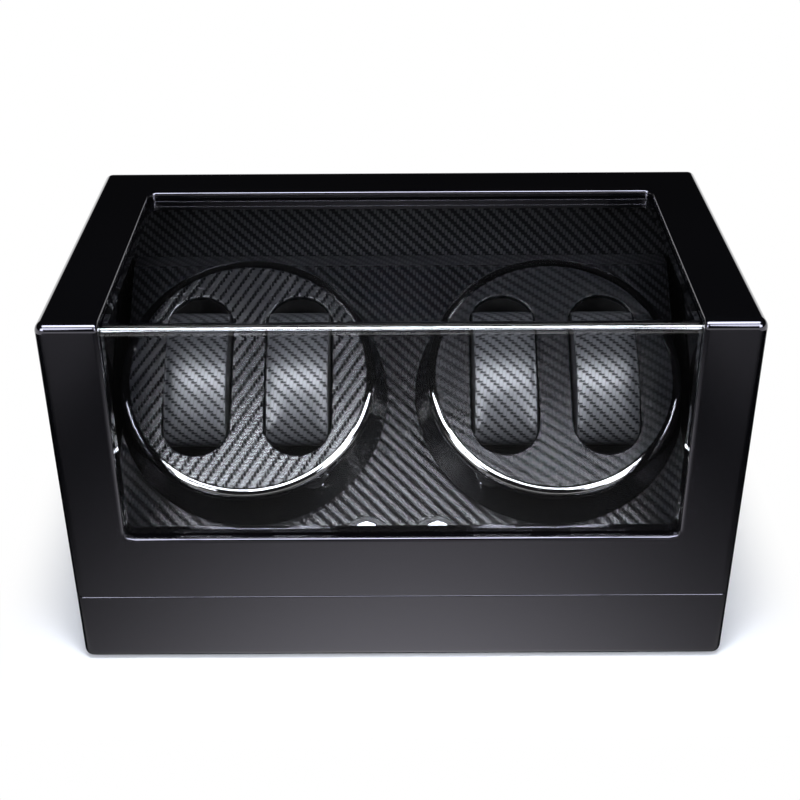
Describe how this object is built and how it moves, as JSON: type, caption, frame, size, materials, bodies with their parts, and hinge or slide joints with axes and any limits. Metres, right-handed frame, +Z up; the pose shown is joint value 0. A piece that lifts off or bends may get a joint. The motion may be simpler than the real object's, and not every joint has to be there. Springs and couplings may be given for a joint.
{
  "type": "watch winder box",
  "caption": "Lacquered watch winder box with a hinged lid, one bent clear window and belt-driven turntables that carry watch pillows on a leaning deck.",
  "frame": {"origin": "on the resting surface, under the middle of the box with its hinge barrels", "axes": "+Z up, front with the window towards -Y, +X to the viewer's right"},
  "size_m": [0.335, 0.1914, 0.2],
  "materials": {
    "lacquer": "black piano lacquer on fibreboard, polished to a mirror gloss",
    "pane": "clear bent acrylic sheet, polished edges",
    "leatherette": "black leatherette embossed with a fine twill weave",
    "pillow": "padded black leatherette, same twill emboss, plain sides",
    "drum": "moulded black, high gloss",
    "well": "moulded black, flocked inside",
    "board": "fibreboard stained black",
    "rubber": "black moulded rubber",
    "chrome": "bright chrome plate",
    "steel": "turned steel",
    "plated": "zinc-plated pressed steel",
    "hinge": "nickel-plated brass",
    "bush": "sintered bronze",
    "pulley": "natural moulded nylon",
    "switch": "black moulded housing",
    "circuit": "green circuit board"
  },
  "bodies": {
    "base": {"base_frame": "lacquer", "board_standoffs": "pulley", "bottom_plate": "board", "bottom_plate_screws": "steel", "bracket_screws": "steel", "control_board": "circuit", "deck_cheek_left": "board", "deck_cheek_right": "board", "deck_front_batten": "board", "deck_ledge": "leatherette", "deck_panel": "leatherette", "deck_rear_board": "board", "drive_belt_left": "rubber", "drive_belt_right": "rubber", "gear_motor_left": "plated", "gear_motor_right": "plated", "hinge_base_leaf_left": "hinge", "hinge_base_leaf_right": "hinge", "hinge_base_screws": "hinge", "hinge_pin_left": "steel", "hinge_pin_right": "steel", "inlet_nut": "hinge", "knob_bezel_left": "chrome", "knob_bezel_right": "chrome", "mode_switch_left": "switch", "mode_switch_right": "switch", "motor_bracket_left": "plated", "motor_bracket_right": "plated", "power_inlet": "switch", "rubber_feet": "rubber", "spindle_bush_left": "bush", "spindle_bush_right": "bush"},
    "lid": {"lid_shell": "lacquer", "window_pane": "pane", "lid_rear_lining": "leatherette", "hinge_lid_leaf_left": "hinge", "hinge_lid_leaf_right": "hinge", "hinge_lid_screws": "hinge"},
    "turntable_left": {"turntable_drum_left": "drum", "face_plate_left": "leatherette", "pillow_well_left_outer": "well", "pillow_well_left_inner": "well", "spindle_left": "steel", "spindle_clip_left": "steel", "drive_pulley_left": "pulley"},
    "motor_output_left": {"motor_pulley_left": "pulley"},
    "pillow_left_outer": {"watch_pillow_left_outer": "pillow"},
    "pillow_left_inner": {"watch_pillow_left_inner": "pillow"},
    "knob_left": {"mode_knob_left": "chrome"},
    "turntable_right": {"turntable_drum_right": "drum", "face_plate_right": "leatherette", "pillow_well_right_outer": "well", "pillow_well_right_inner": "well", "spindle_right": "steel", "spindle_clip_right": "steel", "drive_pulley_right": "pulley"},
    "motor_output_right": {"motor_pulley_right": "pulley"},
    "pillow_right_outer": {"watch_pillow_right_outer": "pillow"},
    "pillow_right_inner": {"watch_pillow_right_inner": "pillow"},
    "knob_right": {"mode_knob_right": "chrome"}
  },
  "joints": [
    {"name": "lid_hinge", "type": "hinge", "parent": "base", "child": "lid", "pos_m": [0, 0.09325, 0.04265], "axis": [-1, 0, 0], "range_deg": [0, 95]},
    {"name": "turntable_left_spin", "type": "hinge", "parent": "base", "child": "turntable_left", "pos_m": [-0.0805, -0.00061, 0.10455], "axis": [0, -0.6018, 0.7986], "continuous": true},
    {"name": "motor_left_spin", "type": "hinge", "parent": "base", "child": "motor_output_left", "pos_m": [-0.0285, 0.00799, 0.09313], "axis": [0, -0.6018, 0.7986], "continuous": true},
    {"name": "pillow_left_outer_lift", "type": "slide", "parent": "turntable_left", "child": "pillow_left_outer", "axis": [0, -0.6018, 0.7986], "range_m": [0, 0.036]},
    {"name": "pillow_left_inner_lift", "type": "slide", "parent": "turntable_left", "child": "pillow_left_inner", "axis": [0, -0.6018, 0.7986], "range_m": [0, 0.036]},
    {"name": "knob_left_turn", "type": "hinge", "parent": "base", "child": "knob_left", "pos_m": [-0.0184, -0.06698, 0.05454], "axis": [0, -0.6018, 0.7986], "range_deg": [-60, 60]},
    {"name": "turntable_right_spin", "type": "hinge", "parent": "base", "child": "turntable_right", "pos_m": [0.0805, -0.00061, 0.10455], "axis": [0, -0.6018, 0.7986], "continuous": true},
    {"name": "motor_right_spin", "type": "hinge", "parent": "base", "child": "motor_output_right", "pos_m": [0.0285, 0.00799, 0.09313], "axis": [0, -0.6018, 0.7986], "continuous": true},
    {"name": "pillow_right_outer_lift", "type": "slide", "parent": "turntable_right", "child": "pillow_right_outer", "axis": [0, -0.6018, 0.7986], "range_m": [0, 0.036]},
    {"name": "pillow_right_inner_lift", "type": "slide", "parent": "turntable_right", "child": "pillow_right_inner", "axis": [0, -0.6018, 0.7986], "range_m": [0, 0.036]},
    {"name": "knob_right_turn", "type": "hinge", "parent": "base", "child": "knob_right", "pos_m": [0.0184, -0.06698, 0.05454], "axis": [0, -0.6018, 0.7986], "range_deg": [-60, 60]}
  ],
  "couplings": [
    {"joint": "motor_left_spin", "follows": "turntable_left_spin", "ratio": 4},
    {"joint": "motor_right_spin", "follows": "turntable_right_spin", "ratio": 4}
  ]
}
